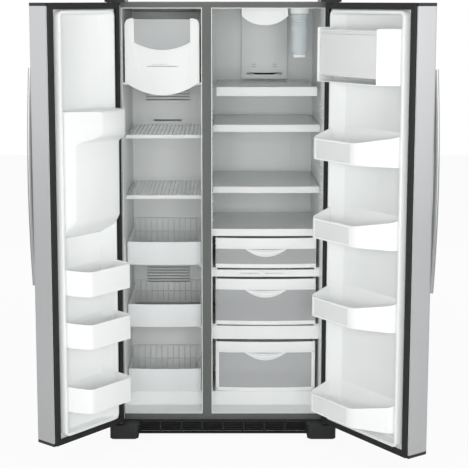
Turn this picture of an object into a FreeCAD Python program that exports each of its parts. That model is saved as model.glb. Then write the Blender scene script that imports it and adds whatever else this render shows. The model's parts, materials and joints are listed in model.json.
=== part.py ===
import FreeCAD, Part
import math
import os

# A side by side refrigerator: a freezer behind the left door, a fresh food
# compartment behind the right one. Millimetres, Z up, the doors face -Y.
# Everything is drawn round the cabinet, whose front face is the plane Y = 0
# and whose middle is X = 0, with both doors shut. The doors are then swung
# open about their hinge pins, and the whole is moved onto the shared frame.

V = FreeCAD.Vector

# The case.
case_w = 908.0
case_h = 1746.0
case_d = 735.0
steel = 1.5
plastic = 2.5
front_t = 3.0
wall = 58.0
rear_wall = 108.0

# The two openings, and the divider between them.
divider_x = -64.0
divider_w = 42.0
sill_z = 87.0
head_z = case_h - 25.0

# The heights below are given for a case this tall, and follow its height.
drawn_h = 1746.0

# The base and the machine compartment at its back.
base_z = 60.0
pan_t = 3.0
floor_z = 140.0
riser_y = 104.0
compartment_z = 352.0
step_z = 400.0

# The doors and their hinges.
door_gap = 6.0
door_t = 98.0
door_z0 = 72.0
door_top_gap = 2.0
seal_gap = 1.0
gasket_t = 13.0
gasket_w = 20.0
hinge_inset = 12.0
cap_t = 12.0
skin_t = 1.0
edge_r = 14.0
hinge_in = 20.0
hinge_out = 50.0
pin_r = 6.0
running = 0.05
dike_w = 14.0
dike_y = 18.0
bin_y = 110.0
freezer_open = 129.8
fresh_open = 124.6

# Small sizes that several pieces share.
slide_gap = 0.5
drawer_y = 112.0
drawer_side_y = 124.0
ledge_t = 9.0

# Where the shared frame's origin lies, from the middle of the cabinet's front:
# under the middle of the overall box, with the doors open.
origin_x = 27.5
origin_y = 136.5

half_w = case_w / 2.0
in_w = half_w - steel
rear_y = case_d - rear_wall
step_y = rear_y - 187.0
fz0 = -half_w + wall
fz1 = divider_x - divider_w / 2.0
ff0 = divider_x + divider_w / 2.0
ff1 = half_w - wall
dz0 = door_z0
dz1 = case_h - door_top_gap
door_in = -seal_gap - gasket_t
door_out = door_in - door_t
hinge_x = half_w - hinge_in
freezer_x0 = -half_w + 3.0
freezer_x1 = divider_x - door_gap / 2.0
fresh_x0 = divider_x + door_gap / 2.0
fresh_x1 = half_w - 3.0

# Levels and places of the inner pieces.
basket_levels = [(677.5, 773.0, 800.0), (416.0, 511.0, 520.0), (140.5, 237.0, 262.0)]
wire_levels = [1208.0, 960.0]
shelf_levels = [(1407.0, 37.0, 16.0), (1254.0, 29.0, 2.0), (1001.0, 26.0, 2.0)]
drawer_levels = [(664.0, 789.0), (425.0, 618.0), (140.5, 352.0)]
frame_levels = [(797.0, 826.0, 802.0), (627.0, 656.0, 640.0), (363.0, 419.0, 400.0)]
fresh_bins = [(1156.0, 1237.0), (852.0, 930.0), (545.0, 622.0), (163.0, 236.0)]
freezer_bins = [(658.0, 752.0), (457.0, 550.0), (207.0, 301.0)]
bin_rise = 42.0
fresh_corner = 137.0
freezer_corner = 34.0
dairy_levels = (1449.0, 1653.0)
dairy_flank = 56.0
bucket_z = 1429.5
auger_z = 1475.0
auger_r = 4.0
shaft_r = 3.0
axle_r = 4.0
roller_r = 25.0
roller_y = case_d - 70.0
gland_r = 9.0
inlet_r = 3.175
foot_x = half_w - 54.0
valve_x = half_w - 54.0
gland_x = -half_w + 49.0
compressor_x = -half_w + 184.0
condenser_x0 = 49.0
condenser_x1 = valve_x - 59.0
valve_z = 170.0
evap_y = rear_y - 67.0
evap_x = (fz0 + fz1) / 2.0
freezer_back_y = evap_y - 20.0
filter_x = ff1 - 87.0
filter_y = 170.0
shelf_back_y = rear_y - 27.0
slider_x = ff0 + 205.0
recess_y = door_out + 58.0
dike_z0 = sill_z + 21.0
dike_z1 = head_z - 5.0
freezer_dx0 = fz0 + 8.0
freezer_dx1 = fz1 - 16.0
fresh_dx0 = ff0 + 18.0
fresh_dx1 = ff1 - 8.0


def up(z):
    return z * case_h / drawn_h


def box(x0, x1, y0, y1, z0, z1):
    return Part.makeBox(x1 - x0, y1 - y0, z1 - z0, V(x0, y0, z0))


def rod(r, length, x, y, z, way):
    return Part.makeCylinder(r, length, V(x, y, z), V(*way))


def joined(shapes):
    return shapes[0].multiFuse(shapes[1:]).removeSplitter()


def less(shape, cutters):
    return shape.cut(Part.makeCompound(cutters))


def along_x(points, x0, x1):
    ring = [V(x0, y, z) for y, z in points]
    ring.append(ring[0])
    return Part.Face(Part.makePolygon(ring)).extrude(V(x1 - x0, 0, 0))


def upwards(points, z0, z1):
    ring = [V(x, y, z0) for x, y in points]
    ring.append(ring[0])
    return Part.Face(Part.makePolygon(ring)).extrude(V(0, 0, z1 - z0))


def bowed(x0, x1, back, side, middle, z0, z1):
    """A block whose front, seen from above, is an arc from side to middle."""
    a = V(x0, side, z0)
    b = V(x0, back, z0)
    c = V(x1, back, z0)
    d = V(x1, side, z0)
    sides = [Part.makeLine(a, b), Part.makeLine(b, c), Part.makeLine(c, d)]
    sides.append(Part.Arc(d, V((x0 + x1) / 2.0, middle, z0), a).toShape())
    return Part.Face(Part.Wire(sides)).extrude(V(0, 0, z1 - z0))


def tub(x0, x1, back, side, middle, z0, z1, t):
    """An open tub with a bowed front, walls and floor t thick."""
    way = t if back > side else -t
    outer = bowed(x0, x1, back, side, middle, z0, z1)
    inner = bowed(x0 + t, x1 - t, back - way, side + way, middle + way, z0 + t, z1 + 1.0)
    return outer.cut(inner)


def cavity(x0, x1, grow, front):
    """A compartment's inside, stepped at the back over the machinery."""
    outline = [
        (front, sill_z - grow),
        (riser_y + grow, sill_z - grow),
        (riser_y + 14.0 + grow, floor_z - grow),
        (step_y - 40.0 + grow, floor_z - grow),
        (step_y + grow, up(step_z) - grow),
        (rear_y + grow, up(step_z) - grow),
        (rear_y + grow, head_z + grow),
        (front, head_z + grow),
    ]
    return along_x(outline, x0 - grow, x1 + grow)


def ledges(x0, x1, y0, y1, top, width):
    low = top - ledge_t
    return [box(x0, x0 + width, y0, y1, low, top), box(x1 - width, x1, y0, y1, low, top)]


# Cabinet

def case_wrapper():
    outer = box(-half_w, half_w, 0, case_d, 30.0, case_h)
    inner = box(-in_w, in_w, -1, case_d + 1, 29.0, case_h - steel)
    return outer.cut(inner)


def front_frame():
    plate = box(-in_w, in_w, 0, front_t, base_z + pan_t, case_h - steel)
    left = box(fz0 - plastic, fz1 + plastic, -1, 9, sill_z - plastic, head_z + plastic)
    right = box(ff0 - plastic, ff1 + plastic, -1, 9, sill_z - plastic, head_z + plastic)
    return less(plate, [left, right])


def back_panel():
    return box(-in_w, in_w, case_d - steel, case_d, up(compartment_z), case_h - steel)


def insulation():
    block = box(-in_w, in_w, front_t, case_d - steel, base_z + pan_t, case_h - steel)
    room = [
        (step_y + 10.0, base_z),
        (step_y + 50.0, up(compartment_z)),
        (case_d + 1, up(compartment_z)),
        (case_d + 1, base_z),
    ]
    cutters = [cavity(fz0, fz1, plastic, -1), cavity(ff0, ff1, plastic, -1)]
    cutters.append(along_x(room, -in_w - 1, in_w + 1))
    return less(block, cutters)


def freezer_liner():
    shell = cavity(fz0, fz1, plastic, 0).cut(cavity(fz0, fz1, 0, -1))
    rails = []
    for top in basket_levels[:2]:
        rails += ledges(fz0, fz1, 130.0, freezer_back_y, up(top[0]) - slide_gap, 12.0)
    rails += ledges(fz0, fz1, 62.0, evap_y - 5.0, up(bucket_z) - slide_gap, 26.0)
    for level in wire_levels:
        rails += ledges(fz0, fz1, 140.0, freezer_back_y, up(level) - 4.0, 10.0)
    return joined([shell] + rails)


def fresh_liner():
    return cavity(ff0, ff1, plastic, 0).cut(cavity(ff0, ff1, 0, -1))


def base_pan():
    shapes = [box(-in_w, in_w, 0, case_d - steel, base_z, base_z + pan_t)]
    shapes.append(box(-in_w, in_w, 0, front_t, 20.0, base_z))
    for side in (-1, 1):
        for x in (foot_x - 24.0, foot_x + 20.0):
            x0, x1 = sorted((side * x, side * (x + 4.0)))
            shapes.append(box(x0, x1, roller_y - 18, roller_y + 18, 14, base_z))
        shapes.append(rod(axle_r, 52.0, side * foot_x - 26.0, roller_y, roller_r, (1, 0, 0)))
    return joined(shapes)


def rear_rollers():
    rollers = []
    for x in (-foot_x, foot_x):
        wheel = rod(roller_r, 30.0, x - 15.0, roller_y, roller_r, (1, 0, 0))
        bore = rod(axle_r + running, 40.0, x - 20.0, roller_y, roller_r, (1, 0, 0))
        rollers.append(wheel.cut(bore))
    return Part.makeCompound(rollers)


def levelling_legs():
    legs = []
    for x in (-foot_x, foot_x):
        pad = rod(20.0, 8.0, x, 45.0, 0, (0, 0, 1))
        stem = rod(6.0, base_z - 8.0, x, 45.0, 8.0, (0, 0, 1))
        nut = rod(11.0, 8.0, x, 45.0, base_z - 8.0, (0, 0, 1))
        legs.append(joined([pad, stem, nut]))
    return Part.makeCompound(legs)


def base_grille():
    front, back = -24.0, -6.0
    end = half_w - 114.0
    shapes = [box(-end, end, front, back, 8.0, 13.0), box(-end, end, front, back, 56.0, 61.0)]
    for i in range(5):
        z = 19.0 + i * 7.4
        shapes.append(box(-end, end, front + 2.0, back, z, z + 3.0))
    for i in range(9):
        x = -end + i * (2.0 * end - 6.0) / 8.0
        shapes.append(box(x, x + 6.0, front + 1.0, 0, 8.0, 61.0))
    for side in (-1, 1):
        x0, x1 = sorted((side * end, side * half_w))
        foot = box(x0, x1, -85.0, -6.0, 6.0, 62.0)
        round_edges = [e for e in foot.Edges if upright(e, -85.0)]
        foot = foot.makeFillet(18.0, round_edges)
        hollow = box(x0 + plastic, x1 - plastic, -85.0 + plastic, 0, 3.0, 62.0 - plastic)
        shapes.append(foot.cut(hollow))
    return joined(shapes)


def upright(edge, y):
    box_ = edge.BoundBox
    return box_.ZLength > 1.0 and box_.XLength < 0.1 and abs(box_.YMin - y) < 0.1


def hinge_brackets():
    shapes = []
    for side in (-1, 1):
        x0, x1 = sorted((side * (half_w - 48.0), side * (half_w - 3.0)))
        low = box(x0, x1, -hinge_out - 22.0, 0, door_z0 - 6.0, door_z0 - 2.0)
        lip = box(x0, x1, -front_t, 0, 22.0, door_z0 - 6.0)
        pin = rod(pin_r, 13.0, side * hinge_x, -hinge_out, door_z0 - 2.0, (0, 0, 1))
        shapes.append(joined([low, lip, pin]))
        top = box(x0, x1, -hinge_out - 22.0, 85.0, case_h, case_h + 4.0)
        pin = rod(pin_r, 13.0, side * hinge_x, -hinge_out, case_h - 13.0, (0, 0, 1))
        shapes.append(joined([top, pin]))
    return Part.makeCompound(shapes)


def hinge_covers():
    covers = []
    for side in (-1, 1):
        x0, x1 = sorted((side * (half_w - 78.0), side * half_w))
        cover = box(x0, x1, -hinge_out - 27.0, 105.0, case_h, case_h + 19.0)
        cover = cover.makeFillet(5.0, [e for e in cover.Edges if e.BoundBox.ZMin > case_h + 18.0])
        inner = box(x0 + 2, x1 - 2, -hinge_out - 25.0, 103.0, case_h - 1.0, case_h + 17.0)
        covers.append(cover.cut(inner))
    return Part.makeCompound(covers)


# Machine compartment

def machine_cover():
    plate = box(-in_w, in_w, case_d - steel, case_d, base_z + pan_t, up(compartment_z) - 1.0)
    cutters = []
    for bank in (-1, 1):
        for i in range(7):
            z = base_z + 40.0 + i * 26.0
            cutters.append(box(bank * 190 - 130, bank * 190 + 130, case_d - 9, case_d + 9, z, z + 8))
    cutters.append(rod(gland_r, 20.0, gland_x, case_d - 10, 120.0, (0, 1, 0)))
    cutters.append(rod(8.0, 20.0, valve_x, case_d - 10, valve_z, (0, 1, 0)))
    return less(plate, cutters)


def cord_gland():
    barrel = rod(gland_r, 9.0, gland_x, case_d - 5.0, 120.0, (0, 1, 0))
    flange = rod(gland_r + 5.0, 3.0, gland_x, case_d, 120.0, (0, 1, 0))
    bore = rod(4.5, 20.0, gland_x, case_d - 10.0, 120.0, (0, 1, 0))
    return joined([barrel, flange]).cut(bore)


def compressor():
    y = case_d - 130.0
    x = compressor_x
    can = Part.makeCylinder(72.0, 150.0, V(x, y, base_z + 14.0))
    can = can.makeFillet(26.0, [e for e in can.Edges if e.Length > 300.0])
    shapes = [can, box(x - 90.0, x + 90.0, y - 55, y + 55, base_z + 11.0, base_z + 15.0)]
    shapes.append(box(x - 80.0, x + 80.0, y - 20, y + 20, base_z + 15.0, base_z + 40.0))
    for dx in (-80.0, 80.0):
        for dy in (-42.0, 42.0):
            shapes.append(rod(9.0, 12.0, x + dx, y + dy, base_z + pan_t, (0, 0, 1)))
    return joined(shapes)


def condenser():
    shapes = []
    x0, x1 = condenser_x0, condenser_x1
    for i in range(12):
        x = x0 + 21.0 + i * (x1 - x0 - 39.0) / 11.0
        shapes.append(box(x, x + 1.5, case_d - 220, case_d - 40, base_z + 32, base_z + 170))
    for x in (x0 + 3.0, x1 - 5.0):
        shapes.append(box(x, x + 2.0, case_d - 225, case_d - 35, base_z + pan_t, base_z + 178))
    for row in range(3):
        for column in range(4):
            y = case_d - 200.0 + column * 46.0
            z = base_z + 55.0 + row * 45.0
            shapes.append(rod(4.0, x1 - x0, x0, y, z, (1, 0, 0)))
    return joined(shapes)


def condenser_shroud():
    y = case_d - 130.0
    z = base_z + 112.0
    plate = box(-2.0, 2.0, case_d - 230.0, case_d - 30.0, base_z + pan_t, base_z + 205.0)
    plate = plate.cut(rod(80.0, 20.0, -10.0, y, z, (1, 0, 0)))
    arm = box(-2.0, 2.0, y - 8.0, y + 8.0, base_z + 20.0, base_z + 200.0)
    motor = rod(22.0, 36.0, 2.0, y, z, (1, 0, 0))
    shaft = rod(shaft_r, 34.0, -32.0, y, z, (1, 0, 0))
    return joined([plate, arm, motor, shaft])


def fan(r, hub_r, length, blades):
    """A fan on the Z axis, from Z = 0 up, with a bore for its shaft."""
    shapes = [Part.makeCylinder(hub_r, length)]
    for i in range(blades):
        blade = box(hub_r - 3.0, r, -13.0, 13.0, length / 2.0 - 0.8, length / 2.0 + 0.8)
        blade.rotate(V(0, 0, length / 2.0), V(1, 0, 0), 24.0)
        blade.rotate(V(0, 0, 0), V(0, 0, 1), i * 360.0 / blades)
        shapes.append(blade)
    whole = joined(shapes)
    return whole.cut(Part.makeCylinder(shaft_r + running, length + 2.0, V(0, 0, -1)))


def condenser_fan():
    blades = fan(72.0, 18.0, 16.0, 5)
    blades.rotate(V(0, 0, 0), V(0, 1, 0), 90.0)
    blades.translate(V(-24.0, case_d - 130.0, base_z + 112.0))
    return blades


def drain_pan():
    y0, y1 = case_d - 228.0, case_d - 32.0
    x0, x1 = condenser_x0 + 11.0, condenser_x1 - 11.0
    outer = box(x0, x1, y0, y1, base_z + pan_t, base_z + 24.0)
    return outer.cut(box(x0 + 2, x1 - 2, y0 + 2, y1 - 2, base_z + pan_t + 2.0, base_z + 30.0))


def water_valve():
    body = box(valve_x - 20, valve_x + 20, case_d - 45, case_d - steel, valve_z - 20, valve_z + 20)
    foot = box(valve_x - 6, valve_x + 6, case_d - 40, case_d - 20, base_z + pan_t, valve_z)
    coil = rod(14.0, 30.0, valve_x, case_d - 28.0, valve_z + 20.0, (0, 0, 1))
    inlet = rod(inlet_r, 30.0, valve_x, case_d - 10.0, valve_z, (0, 1, 0))
    return joined([body, foot, coil, inlet])


# Freezer compartment

def evaporator_cover():
    y = evap_y
    shapes = [box(fz0 + 0.5, fz1 - 0.5, y, y + 4.0, up(step_z) + 12.0, head_z - 20.0)]
    for x in (fz0 + 0.5, fz1 - 2.5):
        shapes.append(box(x, x + 2.0, y, rear_y, up(step_z) + 12.0, head_z - 20.0))
    fan_z = up(1050.0)
    shapes.append(rod(22.0, 22.0, evap_x, y + 2.0, fan_z, (0, 1, 0)))
    shapes.append(rod(shaft_r, 24.0, evap_x, y + 22.0, fan_z, (0, 1, 0)))
    cutters = []
    for low, count in ((1318.0, 5), (504.0, 6)):
        for i in range(count):
            z = up(low) + i * 13.0
            cutters.append(box(evap_x - 95.0, evap_x + 95.0, y - 5, y + 9, z, z + 5.0))
    cutters.append(box(evap_x - 60.0, evap_x + 60.0, y - 5, y + 9, up(1226.0), up(1226.0) + 8.0))
    return less(joined(shapes), cutters)


def evaporator():
    shapes = []
    low, high = up(620.0), up(900.0)
    for i in range(10):
        x = fz0 + 36.0 + i * (fz1 - fz0 - 77.0) / 9.0
        shapes.append(box(x, x + 1.5, evap_y + 14, evap_y + 58, low, high))
    for x in (fz0 + 22.0, fz1 - 24.0):
        shapes.append(box(x, x + 2.0, evap_y + 12, rear_y, low - 8, high + 8))
    for row in range(6):
        z = low + 20.0 + row * (high - low - 40.0) / 5.0
        for y in (evap_y + 24.0, evap_y + 46.0):
            shapes.append(rod(4.0, fz1 - fz0 - 38.0, fz0 + 19.0, y, z, (1, 0, 0)))
    return joined(shapes)


def evaporator_fan():
    blades = fan(60.0, 16.0, 14.0, 5)
    blades.rotate(V(0, 0, 0), V(1, 0, 0), -90.0)
    blades.translate(V(evap_x, evap_y + 28.0, up(1050.0)))
    return blades


def ice_maker():
    z0, z1 = up(1560.0), up(1650.0)
    block = box(fz0 + 30, fz1 - 30, evap_y - 120.0, evap_y, z0, z1)
    cutters = []
    pitch = (fz1 - fz0 - 143.0) / 6.0
    for i in range(7):
        x = fz0 + 60.0 + i * pitch
        cutters.append(rod(34.0, pitch - 4.0, x, evap_y - 60.0, z1 + 6.0, (1, 0, 0)))
    mould = less(block, cutters)
    drive = rod(16.0, 30.0, evap_x, evap_y - 120.0, up(auger_z), (0, 1, 0))
    motor = box(evap_x - 40, evap_x + 40, evap_y - 95, evap_y, up(auger_z) - 40, z0)
    return joined([mould, motor, drive])


def ice_bucket():
    x0, x1 = fz0 + 8.0, fz1 - 8.0
    low, high = up(bucket_z), up(1682.0)
    a = V(x0, 48, low)
    b = V(x0, 48, high)
    c = V(x1, 48, high)
    d = V(x1, 48, low)
    sides = [Part.makeLine(a, b), Part.makeLine(b, c), Part.makeLine(c, d)]
    sides.append(Part.Arc(d, V((x0 + x1) / 2.0, 48, low - 52.0), a).toShape())
    front = Part.Face(Part.Wire(sides)).extrude(V(0, 8, 0))
    recess = box(x0 + 37, x1 - 37, 40, 51, up(1545.0), high - 6.0)
    front = front.cut(recess)
    back = evap_y - 145.0
    body = box(x0 + 8, x1 - 8, 56.0, back, low, up(1610.0))
    room = box(x0 + 11, x1 - 11, 56.0, back - 3.0, low + 3, up(1612.0))
    chute = box(evap_x - 50, evap_x + 50, 62.0, 130.0, low - 5, low + 9)
    bore = rod(auger_r + running, back - 43.0, evap_x, 51.0, up(auger_z), (0, 1, 0))
    return less(joined([front, body.cut(room)]), [chute, bore])


def ice_auger():
    shapes = [rod(auger_r, evap_y - 196.0, evap_x, 51.5, up(auger_z), (0, 1, 0))]
    for i in range(8):
        flight = rod(26.0, 3.0, evap_x, 90.0 + i * 38.0, up(auger_z), (0, 1, 0))
        flight.rotate(V(evap_x, 91.5 + i * 38.0, up(auger_z)), V(1, 0, 0), 22.0)
        shapes.append(flight)
    return joined(shapes)


def wire_shelves():
    w = 4.0
    x0, x1 = fz0 + 3.0, fz1 - 3.0
    y0, y1 = 122.0, evap_y - 4.0
    shelves = []
    for level in wire_levels:
        z = up(level)
        shapes = [box(x0, x1, y0, y0 + 6.0, z - 10.0, z + 6.0)]
        for y in (y0 + 6.0, (y0 + y1) / 2.0, y1 - w):
            shapes.append(box(x0, x1, y, y + w, z - w, z))
        for i in range(13):
            x = x0 + i * (x1 - x0 - w) / 12.0
            shapes.append(box(x, x + w, y0 + 3.0, y1, z, z + w))
        shelves.append(joined(shapes))
    return Part.makeCompound(shelves)


def basket(level):
    """A wire basket behind a bowed plastic front."""
    w = 4.0
    z0, front_top, rear_top = [up(z) for z in level]
    x0, x1 = fz0 + 5.0, fz1 - 5.0
    y0 = drawer_side_y + 4.0
    back = freezer_back_y
    if level == basket_levels[2]:
        z0 = floor_z + slide_gap
        back = step_y - 48.0
    face = bowed(x0, x1, y0, drawer_side_y - 4.0, drawer_y, z0, front_top)
    shapes = [face]
    for i in range(6):
        x = x0 + i * (x1 - x0 - w) / 5.0
        shapes.append(box(x, x + w, y0 - 2.0, back, z0, z0 + w))
        shapes.append(box(x, x + w, back - w, back, z0, rear_top))
    for i in range(7):
        y = y0 + 24.0 + i * (back - y0 - 24.0 - w) / 6.0
        shapes.append(box(x0, x1, y, y + w, z0 + w - 1.0, z0 + 2 * w - 1.0))
        for x in (x0, x1 - w):
            shapes.append(box(x, x + w, y, y + w, z0 + w - 1.0, front_top - 4.0))
    for x in (x0, x1 - w):
        shapes.append(box(x, x + w, y0 - 2.0, back, front_top - 8.0, front_top - 4.0))
    shapes.append(box(x0, x1, back - w, back, rear_top - w, rear_top))
    return joined(shapes)


# Fresh food compartment

def light_cover():
    x0, x1 = ff0 + 119.0, filter_x - 48.0
    z0 = head_z
    shapes = []
    for grow in (0.0, -3.0):
        a = V(x0 - grow, 150 - grow, z0)
        b = V(x0 - grow, 150 - grow, z0 - 31.0 - grow)
        c = V(x1 + grow, 150 - grow, z0 - 31.0 - grow)
        d = V(x1 + grow, 150 - grow, z0)
        low = V((x0 + x1) / 2.0, 150 - grow, z0 - 69.0 - grow)
        sides = [Part.makeLine(b, a), Part.makeLine(a, d), Part.makeLine(d, c)]
        sides.append(Part.Arc(c, low, b).toShape())
        shapes.append(Part.Face(Part.Wire(sides)).extrude(V(0, 180.0 + 2 * grow, 0)))
    return shapes[0].cut(shapes[1])


def air_tower():
    x0, x1 = ff0 + 126.0, ff1 - 115.0
    z0 = up(1412.0)
    outer = bowed(x0, x1, rear_y, rear_y - 50.0, rear_y - 62.0, z0, head_z)
    inner = bowed(x0 + 3, x1 - 3, rear_y + 1, rear_y - 47.0, rear_y - 59.0, z0 + 3.0, head_z - 3.0)
    slot = box(x0 + 22, x1 - 22, rear_y - 70, rear_y - 30, up(1430.0), up(1430.0) + 8.0)
    return less(outer, [inner, slot])


def filter_head():
    plate = rod(38.0, 22.0, filter_x, filter_y, head_z - 22.0, (0, 0, 1))
    return plate.cut(rod(15.0 + running, 17.0, filter_x, filter_y, head_z - 23.0, (0, 0, 1)))


def water_filter():
    top = head_z - 22.0 - slide_gap
    body = rod(33.0, 164.0, filter_x, filter_y, top - 164.0, (0, 0, 1))
    body = body.makeFillet(8.0, [e for e in body.Edges if e.Length > 100.0])
    neck = rod(15.0, 25.0, filter_x, filter_y, top - 10.0, (0, 0, 1))
    grip = box(filter_x - 24, filter_x + 24, filter_y - 4, filter_y + 4, top - 176, top - 160)
    return joined([body, neck, grip])


def shelf_tracks():
    tracks = []
    for x in (ff0 + 75.0, ff1 - 91.0):
        rail = box(x, x + 16.0, rear_y - 8.0, rear_y, up(840.0), up(1406.0))
        slots = []
        for i in range(14):
            z = up(860.0) + i * up(38.0)
            slots.append(box(x + 5.0, x + 11.0, rear_y - 9.0, rear_y - 4.0, z, z + 14.0))
        tracks.append(less(rail, slots))
    return Part.makeCompound(tracks)


def shelf_trims():
    frames = []
    for level, height, inset in shelf_levels:
        x0, x1 = ff0 + inset, ff1 - inset
        z1 = up(level)
        z0 = z1 - height
        front = bowed(x0, x1, 136.0, drawer_side_y, 118.0, z0, z1)
        shapes = [front.cut(box(x0, x1, 130.0, 140.0, z1 - 8.0, z1 - 3.0))]
        for x in (x0, x1 - 8.0):
            shapes.append(box(x, x + 8.0, 135.0, shelf_back_y + 12.0, z1 - 22.0, z1 - 8.0))
        shapes.append(box(x0, x1, shelf_back_y, rear_y - 8.0, z1 - 22.0, z1 - 3.0))
        frames.append(joined(shapes))
    return Part.makeCompound(frames)


def shelf_glass():
    sheets = []
    for level, height, inset in shelf_levels:
        x0, x1 = ff0 + inset, ff1 - inset
        z1 = up(level) - 3.0
        sheets.append(box(x0 + 1, x1 - 1, 130.0, shelf_back_y, z1 - 5.0, z1))
    return Part.makeCompound(sheets)


def crisper_frames():
    frames = []
    for low, high, panel in frame_levels:
        z0, z1 = up(low), up(high)
        back = shelf_back_y if low > 500.0 else step_y - 8.0
        shapes = [bowed(ff0, ff1, 136.0, drawer_side_y, 119.0, z0, z1)]
        shapes.append(box(ff0, ff1, 134.0, back, up(panel), up(panel) + 8.0))
        if low < 700.0:
            top = drawer_levels[0 if low > 500.0 else 1][0]
            for x0, x1 in ((ff0, ff0 + 20.0), (ff1 - 20.0, ff1)):
                shapes.append(box(x0, x1, 130.0, back, up(panel), up(top) - slide_gap))
        whole = joined(shapes)
        if 500.0 < low < 700.0:
            slot_z = (z0 + z1) / 2.0 - 3.0
            slot = box(slider_x - 90, slider_x + 90, 100.0, 129.0, slot_z, slot_z + 6.0)
            whole = whole.cut(slot)
        frames.append(whole)
    return Part.makeCompound(frames)


def humidity_slider():
    z = (up(frame_levels[1][0]) + up(frame_levels[1][1])) / 2.0
    knob = box(slider_x - 14, slider_x + 14, 112.0, 118.2, z - 7.0, z + 7.0)
    tongue = box(slider_x - 8, slider_x + 8, 118.0, 127.0, z - 2.8, z + 2.8)
    return joined([knob, tongue])


def crisper(index):
    low, high = drawer_levels[index]
    back = rear_y - 57.0 if low > 300.0 else step_y - 56.0
    z0 = up(low) if low > 300.0 else floor_z + slide_gap
    return tub(ff0 + 13.0, ff1 - 13.0, back, drawer_side_y, drawer_y, z0, up(high), 3.0)


# Doors, drawn shut

def door_caps(x0, x1, side):
    caps = []
    for z in (dz0, dz1 - cap_t):
        cap = box(x0, x1, door_out, door_in, z, z + cap_t)
        cap = cap.makeFillet(edge_r, [e for e in cap.Edges if upright(e, door_out)])
        bore = rod(pin_r + running, cap_t + 2.0, side * hinge_x, -hinge_out, z - 1.0, (0, 0, 1))
        caps.append(cap.cut(bore))
    return Part.makeCompound(caps)


def door_skin(x0, x1):
    z0, z1 = dz0 + cap_t, dz1 - cap_t
    outer = box(x0, x1, door_out, door_in, z0, z1)
    outer = outer.makeFillet(edge_r, [e for e in outer.Edges if upright(e, door_out)])
    return outer.cut(door_core(x0, x1))


def door_core(x0, x1):
    z0, z1 = dz0 + cap_t, dz1 - cap_t
    inner = box(x0 + skin_t, x1 - skin_t, door_out + skin_t, door_in + 9.0, z0 - 1, z1 + 1)
    return inner.makeFillet(edge_r - skin_t, [e for e in inner.Edges if upright(e, door_out + skin_t)])


def dikes(x0, x1, grow):
    """The raised rim on a door's inside, as the space it takes up."""
    low, high = dike_z0 + grow, dike_z1 - grow
    outer = box(x0 + grow, x1 - grow, door_in - 1.0, dike_y - grow, low, high)
    inner = box(x0 + dike_w, x1 - dike_w, door_in - 2.0, dike_y + 9.0, dike_z0 + dike_w, dike_z1 - dike_w)
    return outer.cut(inner)


def housing(grow):
    """The ice chute's housing, whose free side slants back to clear the divider."""
    outline = [
        (door_in - 1.0, up(868.0) + grow),
        (dike_y + 6.0 - grow, up(902.0) + grow),
        (50.0 - grow, up(938.0) + grow),
        (50.0 - grow, up(1222.0)),
        (bin_y - grow, up(1258.0) + grow),
        (bin_y - grow, up(1346.0) - grow),
        (door_in - 1.0, up(1346.0) - grow),
    ]
    x0, x1 = freezer_dx0 + dike_w + grow, freezer_dx1 - dike_w - grow
    plan = [(x0, door_in - 1.0), (x0, 70.0), (x0 + 26.0, bin_y + 1.0),
            (x1 - 108.0, bin_y + 1.0), (x1, dike_y + 12.0), (x1, door_in - 1.0)]
    return along_x(outline, x0, x1).common(upwards(plan, 0, case_h))


def freezer_shapes(grow):
    return [dikes(freezer_dx0, freezer_dx1, grow), housing(grow)]


def fresh_shapes(grow):
    return [dikes(fresh_dx0, fresh_dx1, grow)]


def door_liner(x0, x1, solids, cores):
    t = front_t
    sheet = box(x0 + skin_t, x1 - skin_t, door_in - t, door_in, dz0 + cap_t, dz1 - cap_t)
    whole = joined([sheet] + solids)
    return less(whole, cores)


def door_foam(x0, x1, cores):
    z0, z1 = dz0 + cap_t, dz1 - cap_t
    slab = door_core(x0, x1).common(box(x0, x1, door_out, door_in - front_t, z0, z1))
    return joined([slab] + cores)


def door_gasket(x0, x1):
    """A ring that stays on the open side of the hinge, so it lifts off as the door swings."""
    m = 4.0
    outer = box(x0 + m, x1 - m, door_in, -seal_gap, dz0 + m, dz1 - m)
    m = m + gasket_w
    return outer.cut(box(x0 + m, x1 - m, door_in - 1, 1, dz0 + m, dz1 - m))


def door_handle(x):
    low, high = up(676.0), up(1506.0)
    end_y, mid_y = door_out - 32.0, door_out - 48.0
    arc = Part.Arc(V(x, end_y, low), V(x, mid_y, (low + high) / 2.0), V(x, end_y, high)).toShape()
    path = Part.Wire([arc])
    way = arc.tangentAt(arc.FirstParameter)
    ring = Part.Wire([Part.makeCircle(11.0, V(x, end_y, low), way)])
    bar = path.makePipeShell([ring], True, False)
    shapes = [bar]
    for z in (low + 14.0, high - 14.0):
        shapes.append(rod(9.0, 34.0, x, door_out - 34.0, z, (0, 1, 0)))
    return joined(shapes)


def bins(hinge, free, corner, rise, levels):
    """Trays across a door, cut back on the free side, with walls that rise to the back."""
    way = 1.0 if free > hinge else -1.0
    made = []
    for low, high in levels:
        z0, z1 = up(low), up(high)
        solids = []
        for t in (0.0, plastic):
            a, b = hinge + way * t, free - way * t
            bend = free - way * (corner + t)
            plan = [(a, door_in + t), (a, bin_y - 26.0), (a + way * 26.0, bin_y - t),
                    (bend, bin_y - t), (b, dike_y + 12.0), (b, door_in + t)]
            solids.append(upwards(plan, z0 + t, z1 + rise + t))
        slope = [(door_in - 1.0, z1 + rise), (bin_y + 1.0, z1), (bin_y + 1.0, z1 + 90.0), (door_in - 1.0, z1 + 90.0)]
        above = along_x(slope, min(hinge, free) - 1.0, max(hinge, free) + 1.0)
        made.append(less(solids[0], [solids[1], above]))
    return made


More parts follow.
